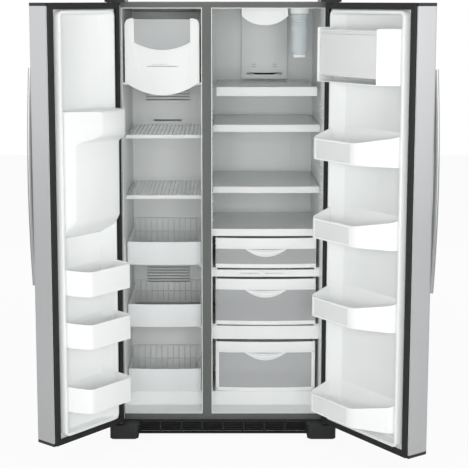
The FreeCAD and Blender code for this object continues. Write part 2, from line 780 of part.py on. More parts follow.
def dairy_box():
    x0, x1 = fresh_dx0 + dike_w, fresh_dx1 - dike_w
    z0, z1 = up(dairy_levels[0]), up(dairy_levels[1])
    free = x0 + dairy_flank
    plan = [(x0, door_in), (x0, dike_y + 8.0), (free, 88.0), (free, door_in)]
    shapes = [upwards(plan, z0, z1), box(free, x1, door_in, 84.0, z0, z0 + 3.0)]
    shapes.append(box(x1 - 6.0, x1, door_in, 88.0, z0, z1))
    bore = rod(3.0 + running, x1 - free + 3.0, free - 5.0, 74.0, z1 - 12.0, (1, 0, 0))
    return joined(shapes).cut(bore)


def dairy_cover():
    x0, x1 = fresh_dx0 + dike_w + dairy_flank + 0.5, fresh_dx1 - dike_w - 6.5
    z0, z1 = up(dairy_levels[0]), up(dairy_levels[1])
    pin = rod(3.0, x1 - x0 + 9.0, x0 - 4.5, 74.0, z1 - 12.0, (1, 0, 0))
    knuckle = rod(6.0, x1 - x0, x0, 74.0, z1 - 12.0, (1, 0, 0))
    lid = box(x0, x1, 77.0, 80.0, z0 + 24.0, z1 - 12.0)
    return joined([pin, knuckle, lid])


def dispenser_space(grow):
    x = (freezer_x0 + freezer_x1) / 2.0
    w = 108.0 + grow
    return box(x - w, x + w, door_out - 9, recess_y + grow, up(1010.0) - grow, up(1368.0) + grow)


def dispenser_panel():
    x = (freezer_x0 + freezer_x1) / 2.0
    bezel = box(x - 120, x + 120, door_out - 4.0, door_out, up(1000.0), up(1500.0))
    shell = dispenser_space(plastic).common(box(x - 200, x + 200, door_out, 0, 0, case_h))
    whole = joined([bezel, shell]).cut(dispenser_space(0))
    z = up(1368.0)
    chute = rod(20.0, 30.0, x, recess_y - 26.0, z - 29.0, (0, 0, 1))
    shapes = [whole, chute]
    for side in (-1, 1):
        lug = box(x + side * 38 - 3, x + side * 38 + 3, recess_y - 58, recess_y, z - 52, z - 36)
        shapes.append(lug)
    whole = joined(shapes)
    return whole.cut(rod(2.5 + running, 80.0, x - 40.0, recess_y - 52.0, z - 44.0, (1, 0, 0)))


def dispenser_paddle():
    x = (freezer_x0 + freezer_x1) / 2.0
    z = up(1368.0) - 44.0
    y = recess_y - 52.0
    pin = rod(2.5, 79.0, x - 39.5, y, z, (1, 0, 0))
    knuckle = rod(5.0, 68.0, x - 34.0, y, z, (1, 0, 0))
    plate = box(x - 30, x + 30, y - 2.0, y + 2.0, z - 122.0, z)
    return joined([pin, knuckle, plate])


def drip_tray():
    x = (freezer_x0 + freezer_x1) / 2.0
    z = up(1010.0)
    tray = box(x - 100, x + 100, door_out - 2.0, recess_y - 4.0, z, z + 12.0)
    slots = []
    for i in range(9):
        sx = x - 88.0 + i * 20.0
        slots.append(box(sx, sx + 14.0, door_out + 5.0, recess_y - 10.0, z + 4.0, z + 13.0))
    return less(tray, slots)


def placed(shape, body):
    whole = shape.copy()
    if body == "freezer_door":
        whole.rotate(V(-hinge_x, -hinge_out, 0), V(0, 0, 1), -freezer_open)
    if body == "fresh_door":
        whole.rotate(V(hinge_x, -hinge_out, 0), V(0, 0, 1), fresh_open)
    whole.translate(V(-origin_x, -origin_y, 0))
    return whole


def build():
    pieces = {"": {}, "freezer_door": {}, "fresh_door": {}}
    cabinet = pieces[""]
    makers = [
        case_wrapper, front_frame, back_panel, insulation, freezer_liner, fresh_liner,
        base_pan, rear_rollers, levelling_legs, base_grille, hinge_brackets, hinge_covers,
        machine_cover, cord_gland, compressor, condenser, condenser_shroud, condenser_fan,
        drain_pan, water_valve, evaporator_cover, evaporator, evaporator_fan, ice_maker,
        ice_bucket, ice_auger, wire_shelves, light_cover, air_tower, filter_head,
        water_filter, shelf_tracks, shelf_trims, shelf_glass, crisper_frames, humidity_slider,
    ]
    for make in makers:
        cabinet[make.__name__] = make()
    for i, level in enumerate(basket_levels):
        cabinet["basket_%d" % (i + 1)] = basket(level)
        cabinet["crisper_%d" % (i + 1)] = crisper(i)

    x0, x1 = freezer_x0, freezer_x1
    door = pieces["freezer_door"]
    hole = dispenser_space(plastic)
    cores = freezer_shapes(plastic)
    door["freezer_door_caps"] = door_caps(x0, x1, -1)
    door["freezer_door_skin"] = door_skin(x0, x1).cut(hole)
    door["freezer_door_foam"] = door_foam(x0, x1, cores).cut(hole)
    door["freezer_door_liner"] = door_liner(x0, x1, freezer_shapes(0), cores)
    door["freezer_door_gasket"] = door_gasket(x0 + hinge_inset, x1)
    door["freezer_door_handle"] = door_handle(x1 - 40.0)
    made = bins(freezer_dx0 + dike_w, freezer_dx1 - dike_w, freezer_corner, 4.0, freezer_bins)
    door["freezer_door_bins"] = Part.makeCompound(made)
    door["dispenser_panel"] = dispenser_panel()
    door["dispenser_paddle"] = dispenser_paddle()
    door["drip_tray"] = drip_tray()

    x0, x1 = fresh_x0, fresh_x1
    door = pieces["fresh_door"]
    cores = fresh_shapes(plastic)
    door["fresh_door_caps"] = door_caps(x0, x1, 1)
    door["fresh_door_skin"] = door_skin(x0, x1)
    door["fresh_door_foam"] = door_foam(x0, x1, cores)
    door["fresh_door_liner"] = door_liner(x0, x1, fresh_shapes(0), cores)
    door["fresh_door_gasket"] = door_gasket(x0, x1 - hinge_inset)
    door["fresh_door_handle"] = door_handle(x0 + 40.0)
    made = bins(fresh_dx1 - dike_w, fresh_dx0 + dike_w, fresh_corner, bin_rise, fresh_bins)
    door["fresh_door_bins"] = Part.makeCompound(made + [dairy_box()])
    door["dairy_cover"] = dairy_cover()
    return pieces


os.makedirs("parts", exist_ok=True)
for body, shapes in build().items():
    for node, shape in shapes.items():
        placed(shape, body).exportStep("parts/%s.step" % node)
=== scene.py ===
# A side by side refrigerator with both doors open: its looks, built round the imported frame.
import json
import math

import bmesh
import bpy
from mathutils import Matrix, Vector


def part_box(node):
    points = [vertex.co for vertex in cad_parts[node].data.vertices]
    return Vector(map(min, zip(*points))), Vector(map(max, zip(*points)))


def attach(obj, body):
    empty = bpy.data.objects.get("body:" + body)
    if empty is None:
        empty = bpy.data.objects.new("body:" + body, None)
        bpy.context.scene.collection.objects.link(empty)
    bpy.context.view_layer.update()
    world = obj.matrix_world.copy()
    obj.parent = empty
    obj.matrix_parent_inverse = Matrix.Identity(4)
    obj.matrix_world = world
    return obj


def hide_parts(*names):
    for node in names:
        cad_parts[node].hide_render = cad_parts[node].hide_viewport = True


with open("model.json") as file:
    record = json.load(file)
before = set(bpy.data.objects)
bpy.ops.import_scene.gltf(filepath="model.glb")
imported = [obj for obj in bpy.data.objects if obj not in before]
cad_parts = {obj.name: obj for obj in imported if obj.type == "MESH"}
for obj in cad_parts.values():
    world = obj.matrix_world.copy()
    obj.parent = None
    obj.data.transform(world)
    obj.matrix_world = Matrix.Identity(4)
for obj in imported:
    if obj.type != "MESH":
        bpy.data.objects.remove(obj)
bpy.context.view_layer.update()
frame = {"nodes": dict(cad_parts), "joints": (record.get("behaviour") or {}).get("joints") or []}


# ---------------------------------------------------------------------------------------
# The case. A folded steel wrapper sprayed with a leathery grey enamel, a smooth painted
# front frame between the two compartments, and a plain galvanised back and base pan.
# Enamel gives a soft sheen over a pebbled skin; zinc shows its pale crystals.

def linear(hex_colour):
    """An sRGB colour such as "a0b0c0" as linear values with alpha."""
    parts = [int(hex_colour[i:i + 2], 16) / 255.0 for i in (0, 2, 4)]
    return tuple(p / 12.92 if p <= 0.04045 else ((p + 0.055) / 1.055) ** 2.4 for p in parts) + (1.0,)


def add(tree, kind, inputs=None, **settings):
    """A node of that kind, with its settings and its inputs, which may be other nodes' outputs."""
    node = tree.nodes.new(kind)
    for key, value in settings.items():
        setattr(node, key, value)
    for key, value in (inputs or {}).items():
        if isinstance(value, bpy.types.NodeSocket):
            tree.links.new(value, node.inputs[key])
        else:
            node.inputs[key].default_value = value
    return node


def finish(name, light, dark, rough, grain_mm=2.0, relief_mm=0.03, drift_mm=300.0, stretch=(1, 1, 1),
           spread=0.04, worn=None, **shine):
    """A finish that drifts between two colours, with a fine relief grain_mm across."""
    material = bpy.data.materials.new(name)
    material.use_nodes = True
    tree = material.node_tree
    tree.nodes.clear()
    where = add(tree, "ShaderNodeTexCoord").outputs["Object"]
    drift = add(tree, "ShaderNodeTexNoise", {"Vector": where, "Scale": 1000.0 / drift_mm, "Detail": 3.0})
    colour = add(tree, "ShaderNodeMix", {"Factor": drift.outputs[0], 6: linear(dark), 7: linear(light)},
                 data_type="RGBA").outputs[2]
    if worn:
        edge = add(tree, "ShaderNodeNewGeometry").outputs["Pointiness"]
        edge = add(tree, "ShaderNodeMapRange", {0: edge, 1: 0.52, 2: 0.62}).outputs[0]
        colour = add(tree, "ShaderNodeMix", {"Factor": edge, 6: colour, 7: linear(worn)},
                     data_type="RGBA").outputs[2]
    along = add(tree, "ShaderNodeMapping", {"Vector": where, "Scale": stretch}).outputs[0]
    grain = add(tree, "ShaderNodeTexNoise", {"Vector": along, "Scale": 1000.0 / grain_mm, "Detail": 2.0})
    gloss = add(tree, "ShaderNodeMapRange", {0: grain.outputs[0], 3: rough - spread, 4: rough + spread})
    bump = add(tree, "ShaderNodeBump", {"Height": grain.outputs[0], "Distance": relief_mm / 1000.0,
                                        "Strength": 1.0})
    shader = add(tree, "ShaderNodeBsdfPrincipled", {"Base Color": colour, "Roughness": gloss.outputs[0],
                                                    "Normal": bump.outputs[0], **shine})
    add(tree, "ShaderNodeOutputMaterial", {"Surface": shader.outputs[0]})
    return material


def dress(material, *nodes):
    """Give solids that keep their own shape this finish."""
    for node in nodes:
        shown = frame["nodes"][node]
        shown.data.materials.clear()
        shown.data.materials.append(material)


dress(finish("leather_grain_enamel", "7b7e7b", "707370", 0.48, grain_mm=2.4, relief_mm=0.16), "case_wrapper")
dress(finish("smooth_grey_enamel", "626562", "585b58", 0.44, grain_mm=3.0, relief_mm=0.03), "front_frame")
dress(finish("galvanised_steel", "b6b9bb", "9fa3a6", 0.42, grain_mm=8.0, relief_mm=0.02, drift_mm=18.0,
             Metallic=0.9), "back_panel", "machine_cover", "base_pan")
# Poured polyurethane foam sets matt and straw coloured, with a coarse open skin.
foam = finish("polyurethane_foam", "e6d9ae", "d6c695", 0.9, grain_mm=4.0, relief_mm=0.5, drift_mm=40.0)
dress(foam, "insulation")


# ---------------------------------------------------------------------------------------
# The two linings. Each is one sheet of white polystyrene drawn over a mould, with shelf
# ledges pressed into its walls; the freezer's back is a moulded cover with louvres.
# Drawn polystyrene is smooth, with a waxy sheen and a faint orange peel.

lining = finish("drawn_polystyrene", "eff1f0", "e6e9e8", 0.36, grain_mm=3.0, relief_mm=0.035)
dress(lining, "freezer_liner", "fresh_liner", "evaporator_cover", "shelf_tracks", "air_tower", "filter_head")

# The frame's origin lies under the middle of the open refrigerator. Pieces are drawn in
# millimetres from the middle of the cabinet's front, and these carry them to the frame.
wrapper_low, wrapper_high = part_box("case_wrapper")
cabinet_middle = Vector(((wrapper_low[0] + wrapper_high[0]) / 2.0, wrapper_low[1], 0.0))
CABINET = Matrix.Translation(cabinet_middle) @ Matrix.Scale(0.001, 4)


def span(node, place=CABINET):
    """A node's lowest and highest corners, in millimetres, before it was put in place."""
    back = place.inverted()
    points = [back @ v.co for v in frame["nodes"][node].data.vertices]
    return tuple([pick(p[i] for p in points) for i in range(3)] for pick in (min, max))


def block(bm, low, high, bevel=1.0, segments=2, material=0):
    made = bmesh.ops.create_cube(bm, size=1.0)["verts"]
    bmesh.ops.scale(bm, vec=Vector(high) - Vector(low), verts=made)
    bmesh.ops.translate(bm, vec=(Vector(high) + Vector(low)) / 2.0, verts=made)
    for face in {f for v in made for f in v.link_faces}:
        face.material_index = material
    if bevel:
        edges = list({e for v in made for e in v.link_edges})
        bmesh.ops.bevel(bm, geom=edges, offset=bevel, segments=segments, profile=0.5, affect="EDGES",
                        clamp_overlap=True, material=-1)


def piece(name, bm, materials, body, place=CABINET, replaces=(), sharp=32.0):
    """Close the mesh into a named object in the frame that rides on a body."""
    bmesh.ops.recalc_face_normals(bm, faces=bm.faces)
    bm.transform(place)
    mesh = bpy.data.meshes.new(name)
    bm.to_mesh(mesh)
    bm.free()
    for material in materials:
        mesh.materials.append(material)
    mesh.shade_smooth()
    mesh.set_sharp_from_angle(angle=math.radians(sharp))
    shown = bpy.data.objects.new(name, mesh)
    bpy.context.scene.collection.objects.link(shown)
    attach(shown, body)
    if replaces:
        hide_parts(*replaces)
    return shown


# Ledges pressed into the fresh food side's walls, one pair of rows for the shelves to hook on.
ledge_low, ledge_high = span("fresh_liner")
bm = bmesh.new()
for i in range(15):
    z = 868.0 + i * 38.0
    for x0, x1 in ((ledge_low[0] + 2.5, ledge_low[0] + 6.0), (ledge_high[0] - 6.0, ledge_high[0] - 2.5)):
        block(bm, (x0, 64.0, z), (x1, 92.0, z + 7.0), 1.2)
        block(bm, (x0, 96.0, z + 12.0), (x1, 112.0, z + 17.0), 1.2)
piece("fresh_wall_ledges", bm, [lining], "cabinet")


# ---------------------------------------------------------------------------------------
# The ice bucket. A moulded white tub on side ledges; its front drops in an arc at the
# bottom and is cut down in a U at the top, with a pressed grip line for the fingers.
# Moulded ABS is brighter and a little glossier than the lining.

abs_white = finish("moulded_white_abs", "f5f6f5", "eef0ef", 0.3, grain_mm=1.5, relief_mm=0.02)


def clear(name, tint, cover, rough, edge_cover=0.35, ripple_mm=500.0):
    """A see-through plastic or glass, denser where it is seen edge on."""
    material = bpy.data.materials.new(name)
    material.use_nodes = True
    tree = material.node_tree
    tree.nodes.clear()
    where = add(tree, "ShaderNodeTexCoord").outputs["Object"]
    ripple = add(tree, "ShaderNodeTexNoise", {"Vector": where, "Scale": 1000.0 / ripple_mm, "Detail": 1.0})
    gloss = add(tree, "ShaderNodeMapRange", {0: ripple.outputs[0], 3: rough, 4: rough + 0.03})
    grazing = add(tree, "ShaderNodeLayerWeight", {"Blend": 0.35}).outputs["Facing"]
    solid = add(tree, "ShaderNodeMapRange", {0: grazing, 3: cover, 4: min(1.0, cover + edge_cover)})
    bump = add(tree, "ShaderNodeBump", {"Height": ripple.outputs[0], "Distance": 0.0002, "Strength": 1.0})
    shader = add(tree, "ShaderNodeBsdfPrincipled", {"Base Color": linear(tint), "Roughness": gloss.outputs[0],
                                                    "Alpha": solid.outputs[0], "Normal": bump.outputs[0]})
    add(tree, "ShaderNodeOutputMaterial", {"Surface": shader.outputs[0]})
    return material


bucket_window = clear("clear_bucket_window", "eef1f1", 0.35, 0.1)


def bow(x0, x1, side, middle, count=14):
    """Points along a shallow arc, from the first side round to the other."""
    steps = [i / count for i in range(count + 1)]
    return [(x0 + (x1 - x0) * t, middle + (side - middle) * (2.0 * t - 1.0) ** 2) for t in steps]


def prism(bm, outline, way, material=0, bevel=0.0, segments=2):
    """A flat outline drawn out into a solid, with its edges eased."""
    face = bm.faces.new([bm.verts.new(p) for p in outline])
    face.material_index = material
    start = [face]
    out = bmesh.ops.extrude_face_region(bm, geom=start)["geom"]
    moved = [g for g in out if isinstance(g, bmesh.types.BMVert)]
    bmesh.ops.translate(bm, vec=way, verts=moved)
    ends = set(face.verts) | set(moved)
    faces = {f for v in ends for f in v.link_faces}
    for f in faces:
        f.material_index = material
    if bevel:
        rims = [e for e in {e for v in ends for e in v.link_edges}
                if len(e.link_faces) == 2 and e.calc_face_angle(0.0) > 0.7]
        bmesh.ops.bevel(bm, geom=rims, offset=bevel, segments=segments, profile=0.5, affect="EDGES",
                        clamp_overlap=True, material=-1)


low, high = span("ice_bucket")
x0, x1, arc_low = low[0], high[0], low[2] + 52.0
n0, n1, notch = x0 + 37.0, x1 - 37.0, high[2] - 94.0
outline = [(x, low[1], z) for x, z in bow(x0, x1, arc_low, low[2] + 1.0)]
outline += [(x1, low[1], high[2] - 22.0), (x1 - 7.0, low[1], high[2] - 6.0), (x1 - 22.0, low[1], high[2])]
outline += [(n1, low[1], high[2])] + [(x, low[1], z) for x, z in bow(n1, n0, notch, notch - 30.0)]
outline += [(n0, low[1], high[2]), (x0 + 22.0, low[1], high[2]), (x0 + 7.0, low[1], high[2] - 6.0),
            (x0, low[1], high[2] - 22.0)]
bm = bmesh.new()
prism(bm, outline, (0.0, 8.0, 0.0), bevel=1.6, segments=3)
back, tub_top = high[1], 1610.0
block(bm, (x0 + 8.0, 56.0, arc_low), (x0 + 11.0, back, tub_top), 0.8)
block(bm, (x1 - 11.0, 56.0, arc_low), (x1 - 8.0, back, tub_top), 0.8)
block(bm, (x0 + 8.0, back - 3.0, arc_low), (x1 - 8.0, back, tub_top), 0.8)
block(bm, (x0 + 8.0, 56.0, arc_low), (x1 - 8.0, back, arc_low + 3.0), 0.8)
pane = [(x, low[1] + 3.0, z) for x, z in bow(n0 - 3.0, n1 + 3.0, notch - 3.0, notch - 33.0)]
prism(bm, pane + [(n1 + 3.0, low[1] + 3.0, high[2] - 4.0), (n0 - 3.0, low[1] + 3.0, high[2] - 4.0)],
      (0.0, 2.5, 0.0), material=2)
middle = (x0 + x1) / 2.0
# The pressed grip line is drawn as two flat grey strips: painted shade standing in for the groove's shadow.
# This grey material is painted shade wherever it is used.
block(bm, (middle - 62.0, low[1], 1492.0), (middle + 62.0, low[1] + 1.2, 1494.5), 0.4, material=1)
block(bm, (middle - 40.0, low[1], 1500.0), (middle + 20.0, low[1] + 1.0, 1501.6), 0.3, material=1)
shade = finish("painted_recess_shade", "a9acab", "9b9e9d", 0.4, grain_mm=1.5, relief_mm=0.02)
piece("ice_bucket_shell", bm, [abs_white, shade, bucket_window], "ice_bucket", replaces=["ice_bucket"])
dress(finish("turned_zinc_steel", "9c9fa1", "8b8e90", 0.35, grain_mm=1.0, relief_mm=0.01, drift_mm=30.0,
             Metallic=1.0), "ice_auger", "levelling_legs", "hinge_brackets")
dress(abs_white, "ice_maker", "evaporator_fan", "water_valve", "light_cover")


# ---------------------------------------------------------------------------------------
# The wire shelves and baskets. Steel wire welded at every crossing and dipped in white
# epoxy powder; the shelves end in a folded strip and the baskets in a moulded front.
# The coat rounds every joint and leaves a slightly wavy, shining skin.

wire_white = finish("epoxy_coated_wire", "eef0f0", "e1e4e4", 0.28, grain_mm=3.0, relief_mm=0.05)


def rod(bm, a, b, r=1.9, sides=8, material=0):
    a, b = Vector(a), Vector(b)
    turn = (b - a).to_track_quat("Z", "Y").to_matrix().to_4x4()
    made = bmesh.ops.create_cone(bm, cap_ends=True, segments=sides, radius1=r, radius2=r,
                                 depth=(b - a).length, matrix=Matrix.Translation((a + b) / 2.0) @ turn)
    for face in {f for v in made["verts"] for f in v.link_faces}:
        face.material_index = material


def bent(bm, points, r=1.9):
    """A wire bent round corners, its joints filled like the powder fills them."""
    for a, b in zip(points, points[1:]):
        rod(bm, a, b, r)
    for p in points[1:-1]:
        bmesh.ops.create_icosphere(bm, subdivisions=1, radius=r * 1.02, matrix=Matrix.Translation(p))


low, high = span("wire_shelves")
bm = bmesh.new()
for top in (1208.0, 960.0):
    x0, x1, y0, y1 = low[0], high[0], low[1], high[1]
    block(bm, (x0, y0, top - 10.0), (x1, y0 + 3.0, top + 5.5), 1.3, 3)
    block(bm, (x0, y0, top - 10.0), (x1, y0 + 8.0, top - 7.5), 1.0)
    for y in (y0 + 10.0, (y0 + y1) / 2.0, y1 - 3.0):
        rod(bm, (x0, y, top - 0.5), (x1, y, top - 0.5), 2.5, 10)
    for i in range(19):
        x = x0 + 3.0 + i * (x1 - x0 - 6.0) / 18.0
        bent(bm, [(x, y1 - 0.5, top + 2.2), (x, y0 + 9.0, top + 2.2), (x, y0 + 3.0, top - 4.0)], 1.7)
piece("wire_shelf_pair", bm, [wire_white], "cabinet", replaces=["wire_shelves"])

for number, (front_top, rear_top) in enumerate(((773.0, 800.0), (511.0, 520.0), (237.0, 262.0)), 1):
    node = "basket_%d" % number
    low, high = span(node)
    x0, x1, y0, y1, z0 = low[0], high[0], low[1], high[1], low[2]
    bm = bmesh.new()
    front = [(x, y, z0) for x, y in bow(x0, x1, y0 + 8.0, y0)]
    front += [(x, y + 4.0, z0) for x, y in reversed(bow(x0, x1, y0 + 8.0, y0))]
    prism(bm, front, (0.0, 0.0, front_top - z0), bevel=1.2)
    block(bm, (x0, y0 + 11.0, front_top - 9.0), (x1, y0 + 16.0, front_top - 3.0), 1.4)
    for i in range(13):
        x = x0 + 3.0 + i * (x1 - x0 - 6.0) / 12.0
        bent(bm, [(x, y0 + 12.0, z0 + 1.8), (x, y1 - 2.2, z0 + 1.8), (x, y1 - 2.2, rear_top - 2.0)], 1.5)
    for i in range(17):
        y = y0 + 24.0 + i * (y1 - y0 - 30.0) / 16.0
        bent(bm, [(x0 + 2.0, y, front_top - 5.0), (x0 + 2.0, y, z0 + 4.4), (x1 - 2.0, y, z0 + 4.4),
                  (x1 - 2.0, y, front_top - 5.0)], 1.5)
    for x in (x0 + 2.2, x1 - 2.2):
        rod(bm, (x, y0 + 12.0, front_top - 6.0), (x, y1 - 2.0, front_top - 6.0), 2.1, 10)
        rod(bm, (x, y1 - 2.4, front_top - 6.0), (x, y1 - 2.4, rear_top - 2.2), 2.1, 10)
    rod(bm, (x0 + 2.2, y1 - 2.4, rear_top - 2.2), (x1 - 2.2, y1 - 2.4, rear_top - 2.2), 2.1, 10)
    rod(bm, (x0 + 2.2, y1 - 2.4, (z0 + rear_top) / 2.0), (x1 - 2.2, y1 - 2.4, (z0 + rear_top) / 2.0), 1.8, 8)
    piece("wire_basket_%d" % number, bm, [wire_white], node, replaces=[node])


# ---------------------------------------------------------------------------------------
# The fresh food shelves. Tempered glass held in a frame of milky moulded plastic whose
# front is bowed and rolls over the edge; the upper one is narrower, with a dark gasket.
# Glass is faintly green and mirrors at a glance; the frames let a little light through.

# Milky styrene is nearly opaque; the soft PVC seal is matt black.
milky = clear("milky_styrene", "f3f5f5", 0.86, 0.25, edge_cover=0.12)
seal_black = finish("soft_black_pvc", "0e0e0f", "09090a", 0.6, grain_mm=1.2, relief_mm=0.04)
dress(clear("tempered_glass", "e6eeec", 0.2, 0.04), "shelf_glass")
low, high = span("shelf_trims")
bm = bmesh.new()
for top, height, inset in ((1407.0, 37.0, 16.0), (1254.0, 29.0, 2.0), (1001.0, 26.0, 2.0)):
    x0, x1, y0 = low[0] + inset - 2.0, high[0] - inset + 2.0, low[1]
    front = [(x, y, top - height) for x, y in bow(x0, x1, y0 + 6.0, y0)]
    front += [(x, y + 9.0, top - height) for x, y in reversed(bow(x0, x1, y0 + 6.0, y0))]
    prism(bm, front, (0.0, 0.0, height), bevel=3.0, segments=4)
    lip = [(x, y + 0.3, top - height) for x, y in bow(x0 + 3.0, x1 - 3.0, y0 + 6.0, y0)]
    lip += [(x, y + 4.0, top - height) for x, y in reversed(bow(x0 + 3.0, x1 - 3.0, y0 + 6.0, y0))]
    prism(bm, lip, (0.0, 0.0, 5.0), material=1, bevel=1.0)
    for x in (x0, x1 - 8.0):
        block(bm, (x, y0 + 15.0, top - 22.0), (x + 8.0, 612.0, top - 8.0), 2.0)
    block(bm, (x0, 600.0, top - 22.0), (x1, high[1], top - 3.0), 2.0)
    if inset > 10.0:
        block(bm, (x0 + 8.0, y0 + 12.0, top - 2.5), (x1 - 8.0, y0 + 15.0, top - 0.2), 0.6, material=2)
piece("shelf_frames", bm, [milky, abs_white, seal_black], "cabinet", replaces=["shelf_trims"])


# ---------------------------------------------------------------------------------------
# The drawers. Each is a tub of clear styrene with a white band bonded along the top of
# its bowed front, a scoop hanging from the band for the fingers, and a white foot rim.
# Clear styrene is nearly invisible face on, grey and shining where its walls turn away.

drawer_clear = clear("clear_styrene", "eef0f1", 0.3, 0.1, edge_cover=0.5)


def strip(bm, x0, x1, y0, z0, z1, depth, inset=0.0, material=0, bevel=1.5):
    """A length of the drawers' bowed front."""
    arc = [(x, y) for x, y in bow(low[0], high[0], y0 + 12.0, y0, 28) if x0 <= x <= x1]
    outline = [(x, y + inset, z0) for x, y in arc] + [(x, y + inset + depth, z0) for x, y in reversed(arc)]
    prism(bm, outline, (0.0, 0.0, z1 - z0), material=material, bevel=bevel)


for number in (1, 2, 3):
    node = "crisper_%d" % number
    low, high = span(node)
    x0, x1, y0, y1, z0, z1 = low[0], high[0], low[1], high[1], low[2], high[2]
    middle, foot = (x0 + x1) / 2.0, 17.0
    bm = bmesh.new()
    block(bm, (x0, y0 + 12.0, z0), (x0 + 3.0, y1, z1), 1.0, material=1)
    block(bm, (x1 - 3.0, y0 + 12.0, z0), (x1, y1, z1), 1.0, material=1)
    block(bm, (x0 + 3.0, y1 - 3.0, z0), (x1 - 3.0, y1, z1), 1.0, material=1)
    block(bm, (x0 + 3.0, y0 + 14.0, z0), (x1 - 3.0, y1 - 3.0, z0 + 3.0), 1.0, material=1)
    strip(bm, x0, x1, y0, z0 + foot, z1 - 44.0, 3.0, 1.0, material=1, bevel=0.0)
    strip(bm, x0, x1, y0, z1 - 46.0, z1, 7.0, bevel=2.0)
    strip(bm, x0, x1, y0, z0, z0 + foot, 5.0, bevel=1.6)
    block(bm, (x0, y0 + 18.0, z1 - 7.0), (x0 + 7.0, y1, z1), 2.0, material=0)
    block(bm, (x1 - 7.0, y0 + 18.0, z1 - 7.0), (x1, y1, z1), 2.0, material=0)
    if number == 3:
        strip(bm, x0, x0 + 27.0, y0, z0 + 6.0, z1 - 40.0, 4.0, bevel=1.5)
        strip(bm, x1 - 27.0, x1, y0, z0 + 6.0, z1 - 40.0, 4.0, bevel=1.5)
    hang = z1 - 45.0
    for upper, lower, inset, shade_of in ((4.0, 15.0, 0.4, 2), (15.0, 21.0, 0.0, 0), (21.0, 33.0, 0.8, 2)):
        top_curve = [(x, y0 + inset, z) for x, z in bow(middle - 82.0, middle + 82.0, hang, hang - upper)]
        low_curve = [(x, y0 + inset, z) for x, z in bow(middle + 86.0, middle - 86.0, hang, hang - lower)]
        prism(bm, top_curve + low_curve, (0.0, 5.0, 0.0), material=shade_of)
    piece("clear_drawer_%d" % number, bm, [abs_white, drawer_clear, milky], node, replaces=[node])
dress(abs_white, "crisper_frames", "humidity_slider")


# ---------------------------------------------------------------------------------------
# Cold air and water. A moulded channel brings cold air down the back wall and lets it out
# of a curved slot; a canister filter hangs from its twist socket beside it.

low, high = span("air_tower")
middle = (low[0] + high[0]) / 2.0
bm = bmesh.new()
# The black crescent behind the white lip is painted shadow: a dark sheet standing for the shaded inside of the
# curved slot.
smile = [(x, low[1] + 1.2, z) for x, z in bow(middle - 62.0, middle + 62.0, 1439.0, 1436.0)]
smile += [(x, low[1] + 1.2, z) for x, z in bow(middle + 66.0, middle - 66.0, 1438.0, 1427.0)]
prism(bm, smile, (0.0, 8.0, 0.0), material=1)
lip = [(x, low[1] + 0.4, z) for x, z in bow(middle - 66.0, middle + 66.0, 1437.0, 1426.0)]
lip += [(x, low[1] + 0.4, z) for x, z in bow(middle + 68.0, middle - 68.0, 1436.0, 1422.0)]
prism(bm, lip, (0.0, 8.0, 0.0), material=0)
# Two flat grey strips across the channel, in the same grey: painted shade.
for z in (1463.0, 1474.0):
    block(bm, (middle - 55.0, low[1] + 1.6, z), (middle + 55.0, low[1] + 6.0, z + 2.0), 0.6, material=2)
piece("air_outlet", bm, [abs_white, seal_black, shade], "cabinet")

filter_blue = clear("tinted_filter_shell", "dde4e8", 0.62, 0.12)
low, high = span("water_filter")
cx, cy = (low[0] + high[0]) / 2.0, (low[1] + high[1]) / 2.0
top = high[2] - 15.0
bm = bmesh.new()
ring = [(0.1, top), (28.0, top), (32.0, top - 4.0), (33.0, top - 10.0)]
for i in range(5):
    z = top - 16.0 - i * 7.0
    ring += [(33.0, z), (30.8, z - 1.2), (30.8, z - 4.4), (33.0, z - 5.6)]
ring += [(33.0, top - 62.0), (31.5, top - 66.0), (31.5, top - 140.0), (30.0, top - 156.0), (24.0, top - 164.0),
         (0.1, top - 164.0)]
path = [bm.verts.new((cx + r, cy, z)) for r, z in ring]
edges = [bm.edges.new(pair) for pair in zip(path, path[1:])]
bmesh.ops.spin(bm, geom=path + edges, cent=(cx, cy, 0.0), axis=(0.0, 0.0, 1.0), angle=2.0 * math.pi, steps=40,
               use_merge=True)
bmesh.ops.remove_doubles(bm, verts=bm.verts, dist=0.25)
rod(bm, (cx, cy, top - 2.0), (cx, cy, high[2]), 15.0, 28, material=1)
block(bm, (cx - 24.0, cy - 4.0, low[2]), (cx + 24.0, cy + 4.0, top - 158.0), 3.0, 3, material=1)
piece("filter_canister", bm, [filter_blue, abs_white], "water_filter", replaces=["water_filter"])


# ---------------------------------------------------------------------------------------
# The doors' inner linings. White polystyrene drawn with a raised rim all round that the
# bins hook on, its hinge side sloping down to the flat panel; the freezer's also bulges
# over the ice chute.

def turned(joint_name):
    """Carries a door piece drawn shut, in millimetres, to where its door stands open."""
    joint = next(j for j in frame["joints"] if j["name"] == joint_name)
    post = Matrix.Translation(Vector(joint["pos_m"]))
    turn = Matrix.Rotation(-math.radians(joint["range_deg"][0]), 4, Vector(joint["axis"]))
    return post @ turn @ post.inverted() @ CABINET


FREEZER_DOOR = turned("freezer_door_hinge")
FRESH_DOOR = turned("fresh_door_hinge")
RIM, PANEL, SKIN_BACK = 18.0, -12.0, -14.0


def near(value, wanted, reach=0.6):
    return abs(value - wanted) < reach


